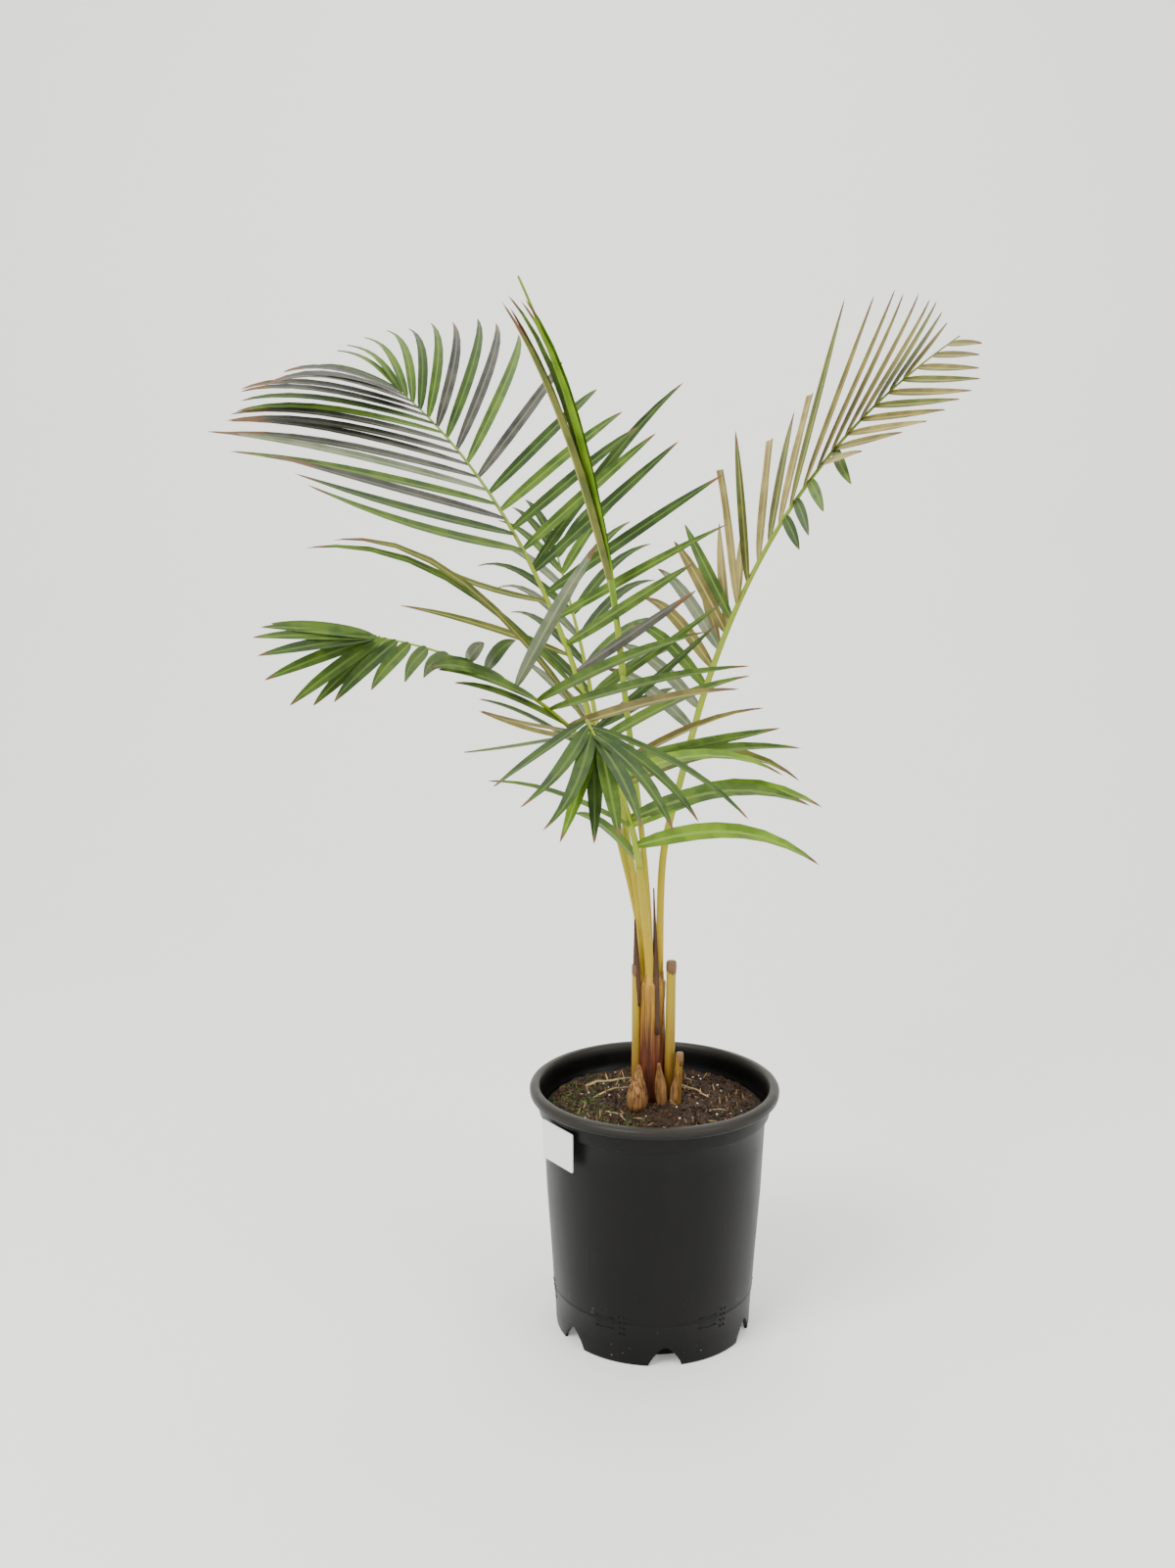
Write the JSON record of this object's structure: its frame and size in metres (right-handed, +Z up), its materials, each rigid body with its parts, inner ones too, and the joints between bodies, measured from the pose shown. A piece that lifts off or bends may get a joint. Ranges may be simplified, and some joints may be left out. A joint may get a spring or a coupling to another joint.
{
  "type": "potted palm",
  "caption": "Young feather palm in a round nursery pot: arching fronds of narrow leaflets on tall leaf stalks round one short stem, to stand on a flat floor.",
  "frame": {"origin": "centre of the flat pad under the pot, on the floor it stands on", "axes": "+Z up along the pot's axis, -Y towards the front the plant is seen from, +X to its right"},
  "size_m": [0.7365, 0.7755, 1.0455],
  "materials": {
    "pot": "satin",
    "soil": "matte",
    "tag": "matte",
    "stem": "satin",
    "stub": "satin",
    "sheath": "matte",
    "petiole": "satin",
    "leaf_green": "satin",
    "leaf_bronze": "satin",
    "leaf_spear": "satin"
  },
  "bodies": {
    "root": {"pot": "pot", "soil": "soil", "tag": "tag", "stem": "stem", "stub_left": "stub", "stub_right": "stub", "stub_low": "stub", "sheath_bulb": "sheath", "sheath_flap": "sheath", "sheath_curl": "sheath", "sheath_dark": "sheath", "petiole_left": "petiole", "petiole_right": "petiole", "petiole_low": "petiole", "petiole_front": "petiole", "petiole_back": "petiole", "petiole_spear": "petiole", "frond_left": "leaf_green", "frond_right": "leaf_bronze", "frond_low": "leaf_green", "frond_front": "leaf_green", "frond_back": "leaf_green", "frond_spear": "leaf_spear"}
  },
  "joints": []
}
